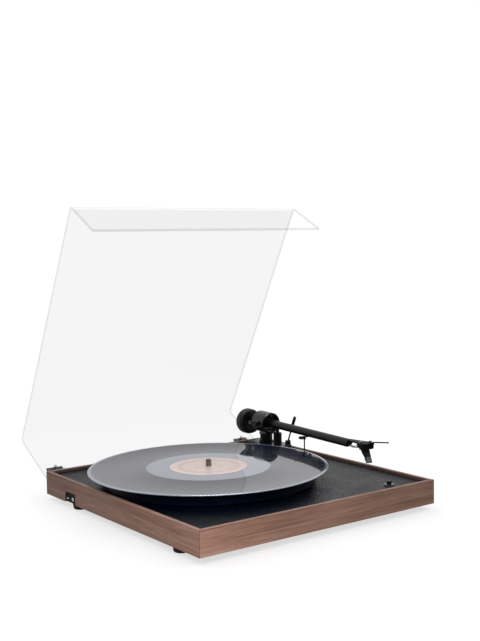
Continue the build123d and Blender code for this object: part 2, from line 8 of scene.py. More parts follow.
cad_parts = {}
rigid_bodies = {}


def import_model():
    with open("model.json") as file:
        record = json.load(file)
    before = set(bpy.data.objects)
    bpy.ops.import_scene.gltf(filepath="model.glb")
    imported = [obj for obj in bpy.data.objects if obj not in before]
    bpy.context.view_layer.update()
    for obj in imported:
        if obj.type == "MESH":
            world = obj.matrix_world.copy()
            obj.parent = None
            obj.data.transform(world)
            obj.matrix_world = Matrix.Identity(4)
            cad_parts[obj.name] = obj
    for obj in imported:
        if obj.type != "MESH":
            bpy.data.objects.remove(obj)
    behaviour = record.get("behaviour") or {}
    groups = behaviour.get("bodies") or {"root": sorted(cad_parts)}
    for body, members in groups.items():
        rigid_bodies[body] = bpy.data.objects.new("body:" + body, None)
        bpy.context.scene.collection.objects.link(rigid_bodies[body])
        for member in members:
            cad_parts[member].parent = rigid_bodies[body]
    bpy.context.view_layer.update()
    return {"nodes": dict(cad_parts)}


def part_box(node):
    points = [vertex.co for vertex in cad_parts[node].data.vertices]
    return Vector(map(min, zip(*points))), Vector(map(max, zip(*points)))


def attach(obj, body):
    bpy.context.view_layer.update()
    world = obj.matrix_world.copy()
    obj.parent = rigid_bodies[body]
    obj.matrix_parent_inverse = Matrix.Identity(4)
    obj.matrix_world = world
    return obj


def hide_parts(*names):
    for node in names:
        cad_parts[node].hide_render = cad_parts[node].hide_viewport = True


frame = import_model()
N = frame["nodes"]
SCN = bpy.context.scene

# ------------------------------------------------------------------ coordinates
# Dimensions below are millimetres from the plinth's front left bottom corner.
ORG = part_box("front_board")[0]


def V(x, y, z):
    return Vector((ORG.x + x / 1000.0, ORG.y + y / 1000.0, ORG.z + z / 1000.0))


W, D, H, RIM = 346.0, 362.0, 30.0, 4.6
RX, RY = 142.5, 194.5
R_REC = 150.8
PX, PY, PZ = 320.0, 309.0, 63.7
ARM = Matrix.Translation(V(PX, PY, PZ)) @ Matrix.Rotation(math.radians(-3.8), 4, "Z")
HEAD = ARM @ Matrix.Translation((0, -0.2355, 0)) @ Matrix.Rotation(math.radians(-19.0), 4, "Z")


# -------------------------------------------------------------- material helpers
class Mat:
    def __init__(self, name):
        self.m = bpy.data.materials.new(name)
        self.m.use_nodes = True
        self.t = self.m.node_tree
        self.b = self.t.nodes["Principled BSDF"]
        self.c = self.t.nodes.new("ShaderNodeTexCoord").outputs["Object"]

    def set(self, **kw):
        for k, v in kw.items():
            self.b.inputs[k.replace("_", " ")].default_value = v
        return self

    def node(self, kind, ins=None, **props):
        n = self.t.nodes.new("ShaderNode" + kind)
        for k, v in props.items():
            setattr(n, k, v)
        for k, v in (ins or {}).items():
            s = n.inputs[k]
            if isinstance(v, bpy.types.NodeSocket):
                self.t.links.new(v, s)
            else:
                s.default_value = v
        return n

    def link(self, out, name):
        self.t.links.new(out, self.b.inputs[name])

    def mapping(self, scale, vec=None, loc=(0, 0, 0), rot=(0, 0, 0)):
        return self.node("Mapping", {"Vector": vec or self.c, "Scale": scale, "Location": loc, "Rotation": rot}).outputs[0]

    def noise(self, scale, detail=3.0, vec=None, rough=0.55, dist=0.0):
        return self.node("TexNoise", {"Vector": vec or self.c, "Scale": scale, "Detail": detail, "Roughness": rough, "Distortion": dist}).outputs[0]

    def voro(self, scale, vec=None, feature="F1", rand=1.0, out="Distance"):
        return self.node("TexVoronoi", {"Vector": vec or self.c, "Scale": scale, "Randomness": rand}, feature=feature).outputs[out]

    def math(self, op, a, b=0.0, c=None, clamp=False):
        ins = {0: a, 1: b}
        if c is not None:
            ins[2] = c
        return self.node("Math", ins, operation=op, use_clamp=clamp).outputs[0]

    def remap(self, v, a, b, c, d):
        return self.node("MapRange", {"Value": v, "From Min": a, "From Max": b, "To Min": c, "To Max": d}).outputs[0]

    def ramp(self, v, stops, interp="LINEAR"):
        n = self.node("ValToRGB", {"Fac": v})
        r = n.color_ramp
        r.interpolation = interp
        while len(r.elements) < len(stops):
            r.elements.new(0.5)
        for e, (p, col) in zip(r.elements, stops):
            e.position = p
            e.color = col if len(col) == 4 else (*col, 1.0)
        return n.outputs[0]

    def mix(self, f, a, b, blend="MIX"):
        n = self.node("Mix", data_type="RGBA", blend_type=blend)
        for s, v in ((n.inputs[0], f), (n.inputs[6], a), (n.inputs[7], b)):
            if isinstance(v, bpy.types.NodeSocket):
                self.t.links.new(v, s)
            else:
                s.default_value = v if isinstance(v, (int, float)) else (*v, 1.0)
        return n.outputs[2]

    def bump(self, h, strength=0.3, dist=0.0002, normal=None):
        ins = {"Height": h, "Strength": strength, "Distance": dist}
        if normal is not None:
            ins["Normal"] = normal
        return self.node("Bump", ins).outputs[0]

    def xyz(self):
        s = self.node("SeparateXYZ", {0: self.c})
        return s.outputs[0], s.outputs[1], s.outputs[2]


def srgb(r, g, b):
    f = lambda c: (c / 255.0 / 12.92) if c <= 10 else ((c / 255.0 + 0.055) / 1.055) ** 2.4
    return (f(r), f(g), f(b))


def walnut(name, axis, seed, end=False):
    """straight-grained walnut veneer, grain along the given axis"""
    m = Mat(name)
    along, across = 2.4, 190.0
    s = [across, across, across]
    s[axis] = along
    v = m.mapping(tuple(s), loc=(seed, seed * 1.7, seed * 0.6))
    warp = m.noise(7.0, 2.0)
    broad = m.noise(0.28, 4.0, v, 0.6, 0.4)
    fine = m.noise(1.15, 5.0, v, 0.65, 0.15)
    s2 = [1500.0, 1500.0, 1500.0]
    s2[axis] = 38.0
    pore = m.noise(1.0, 2.0, m.mapping(tuple(s2)), 0.5)
    pores = m.ramp(pore, [(0.36, (0, 0, 0)), (0.5, (1, 1, 1))])
    s3 = [620.0, 620.0, 620.0]
    s3[axis] = 17.0
    fleck = m.noise(1.0, 4.0, m.mapping(tuple(s3), loc=(seed * 2.0, seed, seed)), 0.6, 0.1)
    mixv = m.math("ADD", m.math("MULTIPLY", broad, 0.34), m.math("MULTIPLY", fine, 0.33))
    mixv = m.math("ADD", mixv, m.math("MULTIPLY", fleck, 0.33))
    mixv = m.math("ADD", mixv, m.math("MULTIPLY", m.math("SUBTRACT", warp, 0.5), 0.16))
    col = m.ramp(mixv, [
        (0.30, srgb(74, 50, 41)),
        (0.42, srgb(100, 72, 61)),
        (0.52, srgb(119, 91, 79)),
        (0.62, srgb(134, 107, 94)),
        (0.74, srgb(150, 123, 110)),
    ])
    col = m.mix(m.remap(pores, 0, 1, 0.30, 0.0), col, srgb(66, 41, 31))
    # painted shade: the faces of the boards that look in over the deck are darkened to a deep brown, standing in for
    # the shadow on the rim's inner faces
    p = m.xyz()[1 - axis]
    o = (ORG.y, ORG.x)[axis]
    w = (D, W)[axis] / 1000.0
    lo = m.math("LESS_THAN", m.math("ABSOLUTE", m.math("SUBTRACT", p, o + RIM / 1000.0)), 0.00015)
    hi = m.math("LESS_THAN", m.math("ABSOLUTE", m.math("SUBTRACT", p, o + w - RIM / 1000.0)), 0.00015)
    col = m.mix(m.math("MULTIPLY", m.math("MAXIMUM", lo, hi), 0.85), col, srgb(34, 26, 23))
    m.link(col, "Base Color")
    m.link(m.remap(fine, 0.3, 0.7, 0.40, 0.52), "Roughness")
    hgt = m.math("ADD", m.math("MULTIPLY", pores, 0.7), m.math("MULTIPLY", fine, 0.3))
    m.link(m.bump(hgt, 0.22, 0.0002), "Normal")
    m.set(Specular_IOR_Level=0.35)
    return m.m


def leatherette():
    m = Mat("deck_pebble")
    cells = m.voro(500.0, feature="SMOOTH_F1", rand=0.9)
    cells2 = m.voro(1500.0, rand=1.0)
    n = m.noise(35.0, 3.0)
    h = m.math("SUBTRACT", 1.0, m.math("MULTIPLY", cells, 1.25))
    h = m.math("ADD", h, m.math("MULTIPLY", cells2, -0.25))
    m.link(m.bump(h, 0.9, 0.0008), "Normal")
    # the colour follows the pebble height: painted highlight on the pebble tops and painted shade in the hollows
    # between them
    col = m.ramp(h, [(0.25, srgb(1, 4, 12)), (0.7, srgb(5, 9, 18)), (1.0, srgb(34, 37, 41))])
    m.link(col, "Base Color")
    m.link(m.remap(n, 0.3, 0.7, 0.26, 0.36), "Roughness")
    m.set(Specular_IOR_Level=0.10)
    return m.m


def gloss_black(name, base=(2, 3, 11), rough=(0.16, 0.24), coat=0.0):
    m = Mat(name)
    n = m.noise(60.0, 4.0)
    f = m.noise(900.0, 2.0)
    m.link(m.mix(m.remap(n, 0.35, 0.65, 0.0, 1.0), srgb(*base), srgb(base[0] + 3, base[1] + 3, base[2] + 4)), "Base Color")
    m.link(m.remap(n, 0.3, 0.7, *rough), "Roughness")
    m.link(m.bump(f, 0.02, 0.0001), "Normal")
    m.set(Coat_Weight=coat, Coat_Roughness=0.05, Specular_IOR_Level=0.10)
    return m.m


def satin_black(name, base=(7, 7, 8), rough=(0.34, 0.46), grain=1400.0, bump=0.10, spec=0.22):
    m = Mat(name)
    n = m.noise(grain, 3.0)
    c = m.noise(90.0, 4.0)
    m.link(m.mix(m.remap(c, 0.3, 0.7, 0.0, 1.0), srgb(*[max(0, b - 4) for b in base]), srgb(*[b + 5 for b in base])), "Base Color")
    m.link(m.remap(c, 0.3, 0.7, *rough), "Roughness")
    m.link(m.bump(n, bump, 0.00008), "Normal")
    m.set(Specular_IOR_Level=spec)
    return m.m


def metal(name, base, rough, streak=None, grain=0.05):
    m = Mat(name)
    s = streak or (400.0, 400.0, 400.0)
    v = m.mapping(s)
    n = m.noise(1.0, 4.0, v)
    c = m.noise(120.0, 3.0)
    a = srgb(*base)
    m.link(m.mix(m.remap(c, 0.3, 0.7, 0.0, 1.0), a, tuple(x * 0.86 for x in a)), "Base Color")
    m.link(m.remap(n, 0.3, 0.7, *rough), "Roughness")
    m.link(m.bump(n, grain, 0.00004), "Normal")
    m.set(Metallic=1.0)
    return m.m


def rubber():
    m = Mat("foot_rubber")
    n = m.noise(700.0, 4.0)
    c = m.noise(80.0, 3.0)
    m.link(m.ramp(c, [(0.3, srgb(20, 14, 10)), (0.7, srgb(36, 27, 22))]), "Base Color")
    m.link(m.remap(n, 0.3, 0.7, 0.62, 0.8), "Roughness")
    m.link(m.bump(n, 0.25, 0.00012), "Normal")
    return m.m


def fibreboard():
    m = Mat("panel_board")
    n = m.noise(260.0, 5.0)
    f = m.noise(1800.0, 3.0, m.mapping((1.0, 0.35, 1.0)))
    v = m.math("ADD", m.math("MULTIPLY", n, 0.5), m.math("MULTIPLY", f, 0.5))
    m.link(m.ramp(v, [(0.35, srgb(92, 70, 52)), (0.5, srgb(124, 98, 74)), (0.68, srgb(150, 124, 97))]), "Base Color")
    m.link(m.remap(f, 0.3, 0.7, 0.7, 0.88), "Roughness")
    m.link(m.bump(f, 0.3, 0.0002), "Normal")
    return m.m


def felt():
    m = Mat("mat_felt")
    n = m.noise(1600.0, 5.0, dist=0.5)
    c = m.noise(120.0, 3.0)
    m.link(m.ramp(m.math("ADD", m.math("MULTIPLY", n, 0.6), m.math("MULTIPLY", c, 0.4)), [(0.3, srgb(16, 16, 19)), (0.7, srgb(44, 44, 48))]), "Base Color")
    m.link(m.remap(n, 0.3, 0.7, 0.85, 0.98), "Roughness")
    m.link(m.bump(n, 0.6, 0.0003), "Normal")
    m.set(Sheen_Weight=0.35, Sheen_Roughness=0.5)
    return m.m


def circuit():
    m = Mat("board_green")
    x, y, z = m.xyz()
    v = m.node("TexBrick", {"Vector": m.mapping((60.0, 60.0, 60.0)), "Scale": 4.0, "Mortar Size": 0.06}).outputs["Fac"]
    n = m.noise(300.0, 3.0)
    col = m.mix(v, srgb(18, 62, 40), srgb(34, 92, 58))
    col = m.mix(m.remap(z, ORG.z + 0.00985, ORG.z + 0.00995, 0.0, 1.0), col, srgb(26, 26, 28))
    m.link(col, "Base Color")
    m.link(m.remap(n, 0.3, 0.7, 0.3, 0.45), "Roughness")
    m.link(m.bump(v, 0.3, 0.0001), "Normal")
    return m.m


def vinyl(name, ior, rough, base, groove_bump, shine=0.0, spread=0.0):
    """glossy black vinyl: playing bands with fine concentric grooves, smooth gaps between them"""
    m = Mat(name)
    x, y, z = m.xyz()
    dx = m.math("SUBTRACT", x, ORG.x + RX / 1000.0)
    dy = m.math("SUBTRACT", y, ORG.y + RY / 1000.0)
    r = m.math("SQRT", m.math("ADD", m.math("MULTIPLY", dx, dx), m.math("MULTIPLY", dy, dy)))
    groove = m.node("Math", {0: m.math("MULTIPLY", r, 2 * math.pi / 0.00042)}, operation="SINE").outputs[0]
    level = m.noise(1.0, 4.0, m.node("CombineXYZ", {0: m.math("MULTIPLY", r, 900.0)}).outputs[0])
    slow = m.noise(1.0, 2.0, m.node("CombineXYZ", {0: m.math("MULTIPLY", r, 120.0)}).outputs[0])
    h = m.math("MULTIPLY", groove, m.remap(level, 0.3, 0.7, 0.3, 1.0))
    m.link(m.bump(h, groove_bump, 0.00004), "Normal")
    dust = m.noise(500.0, 3.0)
    m.link(m.mix(m.remap(slow, 0.3, 0.7, 0.0, 1.0), srgb(*base), srgb(*[k + 4 for k in base])), "Base Color")
    m.link(m.math("ADD", m.remap(slow, 0.3, 0.7, *rough), m.remap(dust, 0.3, 0.7, 0.0, 0.02)), "Roughness")
    m.set(IOR=ior, Specular_Tint=(0.88, 0.92, 1.0, 1.0), Metallic=shine)
    # grooves scatter light across their run, not along it
    along = m.t.nodes.new("ShaderNodeTangent")
    along.direction_type, along.axis = "RADIAL", "Z"
    m.link(along.outputs[0], "Tangent")
    m.set(Anisotropic=spread, Anisotropic_Rotation=0.25)
    m.set(Coat_Weight=1.0 if spread else 0.0, Coat_Roughness=0.02, Coat_IOR=1.27)
    return m.m


def label_paper():
    m = Mat("label_paper")
    x, y, z = m.xyz()
    dx = m.math("SUBTRACT", x, ORG.x + RX / 1000.0)
    dy = m.math("SUBTRACT", y, ORG.y + RY / 1000.0)
    r = m.math("SQRT", m.math("ADD", m.math("MULTIPLY", dx, dx), m.math("MULTIPLY", dy, dy)))
    rn = m.math("DIVIDE", r, 0.05)
    ring = m.ramp(rn, [
        (0.0, srgb(196, 180, 172)), (0.30, srgb(196, 180, 172)), (0.32, srgb(188, 160, 152)), (0.35, srgb(188, 160, 152)), (0.37, srgb(198, 180, 174)),
        (0.64, srgb(196, 176, 170)), (0.68, srgb(190, 160, 152)), (0.78, srgb(190, 162, 154)), (0.82, srgb(200, 184, 178)), (0.96, srgb(200, 186, 180)), (0.985, srgb(176, 152, 146)),
    ])
    n = m.noise(900.0, 4.0)
    c = m.noise(60.0, 3.0)
    col = m.mix(m.remap(n, 0.3, 0.7, 0.0, 0.10), ring, srgb(168, 150, 142))
    m.link(m.mix(m.remap(c, 0.3, 0.7, 0.0, 0.08), m.mix(0.26, col, srgb(140, 128, 126)), srgb(240, 230, 224)), "Base Color")
    m.link(m.remap(n, 0.3, 0.7, 0.34, 0.46), "Roughness")
    m.link(m.bump(n, 0.12, 0.00006), "Normal")
    return m.m


def acrylic(name, tint, veil, base, rough=0.02, gain=0.5):
    """clear sheet: light passes straight through, with a fresnel gloss on the surface"""
    m = Mat(name)
    n = m.noise(9.0, 2.0)
    s = m.noise(420.0, 3.0, m.mapping((1.0, 0.05, 1.0)))
    m.link(m.mix(m.remap(n, 0.3, 0.7, 0.0, 1.0), base, tuple(x * 0.96 for x in base)), "Base Color")
    m.link(m.remap(s, 0.35, 0.75, rough, rough + 0.03), "Roughness")
    m.link(m.bump(n, 0.03, 0.0004), "Normal")
    m.set(IOR=1.49)
    see = m.node("BsdfTransparent", {"Color": (*tint, 1.0)})
    face = m.node("LayerWeight", {"Blend": 0.5}).outputs["Facing"]
    fac = m.math("ADD", m.math("MULTIPLY", m.math("POWER", face, 4.0), gain), veil, clamp=True)
    mx = m.node("MixShader", {0: fac, 1: see.outputs[0], 2: m.b.outputs[0]})
    out = [k for k in m.t.nodes if k.type == "OUTPUT_MATERIAL"][0]
    m.t.links.new(mx.outputs[0], out.inputs["Surface"])
    return m.m


def smoke_guard():
    m = Mat("guard_smoke")
    n = m.noise(400.0, 3.0)
    m.link(m.mix(m.remap(n, 0.3, 0.7, 0.0, 1.0), srgb(96, 97, 104), srgb(112, 113, 120)), "Base Color")
    m.link(m.remap(n, 0.3, 0.7, 0.10, 0.18), "Roughness")
    m.link(m.bump(n, 0.05, 0.0001), "Normal")
    m.set(Transmission_Weight=0.75, IOR=1.49)
    return m.m


def marking():
    m = Mat("mark_white")
    n = m.noise(1500.0, 3.0)
    m.link(m.mix(m.remap(n, 0.3, 0.7, 0.0, 1.0), srgb(232, 232, 230), srgb(214, 214, 212)), "Base Color")
    m.link(m.remap(n, 0.3, 0.7, 0.4, 0.55), "Roughness")
    m.link(m.bump(n, 0.1, 0.00005), "Normal")
    return m.m


MATS = {
    "wood_x": walnut("walnut_x", 0, 3.1),
    "wood_y": walnut("walnut_y", 1, 11.7),
    "deck": leatherette(),
    "platter": gloss_black("platter_gloss"),
    "vinyl": vinyl("record_grooves", 1.07, (0.20, 0.24), (5, 10, 30), 0.006, 0.0, 1.0),
    # painted sheen: the smooth lead-in band and run-out of the black record get a mid grey base colour, standing in
    # for their brighter reflection
    "vinyl_smooth_sheen": vinyl("record_smooth_sheen", 2.20, (0.02, 0.04), (98, 101, 112), 0.0),
    # painted highlight: the rim bead gets a light grey base colour, part metal, so a bright line shows along the black
    # record's edge
    "vinyl_edge_highlight": vinyl("record_edge_painted_highlight", 2.20, (0.20, 0.28), (132, 135, 145), 0.0, 0.55),
    "label": label_paper(),
    "arm": satin_black("arm_satin"),
    "matte": satin_black("matte_black", (6, 6, 7), (0.5, 0.62), 1500.0, 0.14, 0.12),
    "alloy": satin_black("arm_alloy", (9, 9, 10), (0.24, 0.34), 1800.0, 0.05, 0.32),
    "plastic": satin_black("moulded_black", (9, 9, 10), (0.34, 0.5), 1100.0, 0.18, 0.25),
    "chrome": metal("bright_chrome", (214, 216, 220), (0.05, 0.11), (300.0, 300.0, 1200.0), 0.02),
    "steel": metal("turned_steel", (176, 178, 182), (0.22, 0.34), (900.0, 900.0, 200.0), 0.06),
    "pinsteel": metal("spindle_steel", (128, 124, 126), (0.06, 0.12), (500.0, 500.0, 900.0), 0.02),
    "darkchrome": metal("dark_chrome", (84, 86, 92), (0.07, 0.13), (500.0, 500.0, 900.0), 0.02),
    "gunmetal": metal("gunmetal", (116, 118, 122), (0.24, 0.34), (700.0, 700.0, 300.0), 0.05),
    "blackmetal": metal("blackened_steel", (52, 53, 57), (0.30, 0.44), (700.0, 700.0, 700.0), 0.08),
    "brass": metal("brass", (198, 166, 98), (0.18, 0.30), (900.0, 900.0, 900.0), 0.05),
    "gold": metal("gold_plate", (222, 186, 104), (0.10, 0.18), (600.0, 600.0, 600.0), 0.03),
    "rubber": rubber(),
    "board": fibreboard(),
    "felt": felt(),
    "pcb": circuit(),
    "wire": satin_black("lead_wire", (34, 34, 38), (0.45, 0.6), 2200.0, 0.12),
    "clear_lip": acrylic("cover_lip", (0.982, 0.983, 0.984), 0.012, (0.72, 0.73, 0.74), 0.02, 0.06),
    "clear": acrylic("cover_clear", (0.957, 0.958, 0.959), 0.03, (0.70, 0.71, 0.72), 0.02, 0.16),
    "silicone": acrylic("bumper_clear", (0.985, 0.985, 0.985), 0.02, (0.60, 0.58, 0.56), 0.18, 0.06),
    "clear_edge": acrylic("cover_edge", (0.90, 0.905, 0.91), 0.14, (0.66, 0.67, 0.68), 0.2, 0.12),
    "guard": smoke_guard(),
    "mark": marking(),
    "seam": satin_black("seam_glue", (62, 44, 37), (0.55, 0.7), 1600.0, 0.2, 0.15),
}


def paint(obj, *keys):
    obj.data.materials.clear()
    for k in keys:
        obj.data.materials.append(MATS[k])


NODE_MAT = {
    "front_board": "wood_x", "rear_board": "wood_x", "left_board": "wood_y", "right_board": "wood_y",
    "corner_blocks": "board", "deck_panel": "deck", "bottom_panel": "board", "feet": "rubber",
    "base_screws": "steel", "switch_frame": "plastic", "jack_panel": "plastic", "phono_jacks": "gold",
    "earth_post": "brass", "power_inlet": "plastic", "back_screws": "blackmetal", "circuit_board": "pcb",
    "motor": "steel", "bearing_housing": "brass", "thrust_ball": "steel", "deck_screws": "blackmetal",
    "button_bezel": "darkchrome", "button_switch": "plastic", "arm_base": "alloy", "pivot_pillar": "arm",
    "lift_cylinder": "arm", "arm_rest": "plastic", "hinge_brackets": "plastic", "hinge_pins": "steel",
    "cover_bumpers": "silicone", "drive_belt": "rubber", "platter": "platter", "sub_platter": "plastic",
    "spindle": "pinsteel", "slip_mat": "felt", "record": "vinyl", "record_labels": "label",
    "motor_shaft": "steel", "motor_pulley": "brass", "gimbal_ring": "alloy", "pivot_yoke": "gunmetal",
    "pivot_screws": "alloy", "pivot_hub": "arm", "arm_tube": "arm", "counterweight_shaft": "arm",
    "headshell": "matte", "finger_lift": "matte", "cartridge_body": "matte", "cartridge_screws": "steel",
    "stylus": "plastic", "stylus_guard": "guard", "cartridge_leads": "wire", "counterweight": "alloy",
    "lift_bar": "plastic", "cue_lever": "blackmetal", "cover_sheet": "clear",
    "hinge_clips": "darkchrome", "clip_screws": "chrome", "power_rocker": "plastic", "start_button": "plastic",
}
for name, key in NODE_MAT.items():
    paint(N[name], key)


# ------------------------------------------------------------------ mesh helpers
def make(name, bm, body, keys, sharp=32.0, node=None):
    me = bpy.data.meshes.new(name)
    bmesh.ops.recalc_face_normals(bm, faces=bm.faces[:])
    bm.to_mesh(me)
    bm.free()
    for p in me.polygons:
        p.use_smooth = True
    me.set_sharp_from_angle(angle=math.radians(sharp))
    o = bpy.data.objects.new(name, me)
    SCN.collection.objects.link(o)
    for k in keys:
        me.materials.append(MATS[k])
    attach(o, body)
    if node:
        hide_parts(*([node] if isinstance(node, str) else node))
    return o


def lathe(bm, prof, mtx, segs=192, rmod=None):
    """closed outline of (r, h) mm turned about the local Z axis of mtx"""
    rings = []
    for i in range(segs):
        a = 2 * math.pi * i / segs
        row = []
        for j, (r, h) in enumerate(prof):
            rr = r + (rmod(i, j) if rmod else 0.0)
            row.append(bm.verts.new(mtx @ Vector((rr * math.cos(a) / 1000.0, rr * math.sin(a) / 1000.0, h / 1000.0))))
        rings.append(row)
    n = len(prof)
    for i in range(segs):
        a, b = rings[i], rings[(i + 1) % segs]
        for j in range(n):
            k = (j + 1) % n
            bm.faces.new((a[j], b[j], b[k], a[k]))
    return bm


# ------------------------------------------------------------------- dust cover
def cover_sheet():
    s, top, f, r = 3.5, 96.0, 14.5, 370.5
    lv = [13.0, 20.5, 25.6]
    outer, inner = [(r, z) for z in lv], [(r - s, z) for z in lv]

    def bend(cy, cz, a0, a1, rad, n=14):
        return [(cy + rad * math.cos(math.radians(a0 + (a1 - a0) * k / n)), cz + rad * math.sin(math.radians(a0 + (a1 - a0) * k / n))) for k in range(n + 1)]

    outer += bend(r - 7.5, top - 7.5, 0, 90, 7.5) + bend(f + 7.5, top - 7.5, 90, 180, 7.5) + [(f, 31.0)]
    inner += bend(r - s - 4.0, top - s - 4.0, 0, 90, 4.0) + bend(f + s + 4.0, top - s - 4.0, 90, 180, 4.0) + [(f + s, 31.0)]
    # the strip ends higher at the two hinges and over the sockets
    xs = [0.0, 9.0, 33.0, 92.0, 188.0, 313.0, 337.0, 346.0]
    start = [0, 2, 0, 1, 0, 2, 0]
    ax = V(0, 374.0, 20.0)
    rot = Matrix.Translation(ax) @ Matrix.Rotation(math.radians(-62.0), 4, "X") @ Matrix.Translation(-ax)
    bm = bmesh.new()
    O = [[bm.verts.new(rot @ V(x, y, z)) for y, z in outer] for x in xs]
    I = [[bm.verts.new(rot @ V(x, y, z)) for y, z in inner] for x in xs]
    n = len(outer)
    for i in range(len(xs) - 1):
        j0 = start[i]
        for j in range(j0, n - 1):
            bm.faces.new((O[i][j], O[i][j + 1], O[i + 1][j + 1], O[i + 1][j]))
            bm.faces.new((I[i][j], I[i + 1][j], I[i + 1][j + 1], I[i][j + 1]))
        bm.faces.new((O[i][j0], O[i + 1][j0], I[i + 1][j0], I[i][j0]))
        bm.faces.new((O[i][n - 1], I[i][n - 1], I[i + 1][n - 1], O[i + 1][n - 1]))
    for i in (0, len(xs) - 1):
        for j in range(n - 1):
            bm.faces.new((O[i][j], I[i][j], I[i][j + 1], O[i][j + 1]))
    for i in range(1, len(xs) - 1):
        a, b = sorted((start[i - 1], start[i]))
        for j in range(a, b):
            bm.faces.new((O[i][j], I[i][j], I[i][j + 1], O[i][j + 1]))
    bmesh.ops.recalc_face_normals(bm, faces=bm.faces[:])
    sharp = [e for e in bm.edges if len(e.link_faces) == 2 and e.calc_face_angle(0.0) > 1.2]
    bmesh.ops.bevel(bm, geom=sharp, offset=0.0005, segments=2, profile=0.5, affect="EDGES", clamp_overlap=True)
    inv = rot.inverted().to_3x3()
    bmesh.ops.recalc_face_normals(bm, faces=bm.faces[:])
    for fc in bm.faces:
        nn = inv @ fc.normal
        c = rot.inverted() @ fc.calc_center_median()
        low = c.z < V(0, 0, 31.6).z
        rear = c.y > V(0, 360, 0).y
        fc.material_index = 1 if abs(nn.x) > 0.35 or (nn.z < -0.35 and low and (not rear or c.z < V(0, 0, 26.2).z)) else 0
        if fc.material_index == 0 and c.y < V(0, f + s + 0.2, 0).y and c.z < V(0, 0, top - 8.0).z:
            fc.material_index = 2
    return make("dust_cover", bm, "cover", ["clear", "clear_edge", "clear_lip"], 30.0, "cover_sheet")


cover = cover_sheet()


# ----------------------------------------------------------------------- record
def record():
    prof = [(3.65, 42.5), (52.5, 42.5), (54.0, 42.52), (R_REC - 0.9, 42.52), (R_REC - 0.45, 42.62), (R_REC - 0.12, 42.9), (R_REC, 43.25), (R_REC - 0.1, 43.6), (R_REC - 0.4, 43.88), (R_REC - 0.8, 44.0), (R_REC - 3.0, 44.0), (R_REC - 4.2, 43.9), (R_REC - 5.0, 43.8)]
    prof += [(78.2, 43.8), (77.4, 43.84), (60.0, 43.84), (56.0, 43.86), (52.0, 43.95), (3.65, 43.95)]
    bm = bmesh.new()
    lathe(bm, prof, Matrix.Translation(V(RX, RY, 0)), 256)
    c = V(RX, RY, 0)
    for f in bm.faces:
        p = f.calc_center_median()
        rr = math.hypot(p.x - c.x, p.y - c.y) * 1000.0
        # rim bead faces (index 2) take the painted-highlight edge material
        # smooth band faces (index 1) take the painted-sheen material
        f.material_index = 2 if rr > R_REC - 1.2 and p.z > V(0, 0, 42.8).z else 1 if rr < 77.8 or rr > R_REC - 4.6 else 0
    return make("record_disc_vinyl", bm, "record_disc", ["vinyl", "vinyl_smooth_sheen", "vinyl_edge_highlight"], 40.0, "record")


record()


# ---------------------------------------------------------------- counterweight
def counterweight():
    """turned weight with a knurled rim, two smooth shoulders and a stepped front face"""
    u0, u1 = 39.25, 54.75
    R = 18.3
    # (radius, position along the arm, knurled)
    prof = [(4.6, u0 + 0.8), (9.0, u0 + 0.8), (9.4, u0 + 0.1), (16.4, u0), (17.2, u0 + 0.35), (17.4, u0 + 0.9),
            (17.4, u0 + 2.6), (17.1, u0 + 2.9), (17.1, u0 + 3.5), (17.7, u0 + 3.8),
            (R, u0 + 4.6), (R, u0 + 9.0), (R, u1 - 1.8), (17.5, u1 - 0.6), (16.6, u1), (8.0, u1), (7.6, u1 - 0.6), (4.6, u1 - 0.6)]
    knurl = {10, 11, 12}
    segs = 240
    m = ARM @ Matrix.Translation((0, 0, -0.005)) @ Matrix.Rotation(math.radians(-90), 4, "X")
    bm = bmesh.new()
    lathe(bm, prof, m, segs, lambda i, j: (-0.45 if (i // 2) % 2 else 0.0) if j in knurl else 0.0)
    return make("counterweight_body", bm, "weight", ["alloy"], 28.0, "counterweight")


# ------------------------------------------------------------------ switch marks
def switch_marks():
    """generic off and on marks on the rocker face"""
    sy = 295.5
    rk = Matrix.Translation(V(6.2, sy, 0)) @ Matrix.Rotation(math.radians(9.0), 4, "Z")
    bm = bmesh.new()

    def face_x(y):
        return (0.4 - 0.6 * abs(y) / 10.6) - 6.2

    def strip(pts, w, close=False):
        n = len(pts)
        rows = []
        for k in range(n):
            y, z = pts[k]
            if close:
                (ya, za), (yb, zb) = pts[k - 1], pts[(k + 1) % n]
            else:
                (ya, za), (yb, zb) = pts[max(0, k - 1)], pts[min(n - 1, k + 1)]
            ty, tz = yb - ya, zb - za
            L = math.hypot(ty, tz) or 1.0
            ny, nz = -tz / L * w / 2, ty / L * w / 2
            row = []
            for s, d in ((1, -0.10), (1, 0.03), (-1, 0.03), (-1, -0.10)):
                yy, zz = y + s * ny, z + s * nz
                row.append(bm.verts.new(rk @ Vector(((face_x(yy) + d) / 1000.0, yy / 1000.0, zz / 1000.0))))
            rows.append(row)
        for k in range(n if close else n - 1):
            a, b = rows[k], rows[(k + 1) % n]
            for q in range(4):
                bm.faces.new((a[q], b[q], b[(q + 1) % 4], a[(q + 1) % 4]))
        if not close:
            bm.faces.new(rows[0])
            bm.faces.new(rows[-1][::-1])

    strip([(5.2 + k * 0.18, 6.2) for k in range(-10, 11)], 0.8)
    strip([(-5.0 + 1.7 * math.cos(2 * math.pi * k / 40), 6.0 + 1.7 * math.sin(2 * math.pi * k / 40)) for k in range(40)], 0.75, True)
    return make("rocker_marks", bm, "rocker", ["mark"], 40.0)


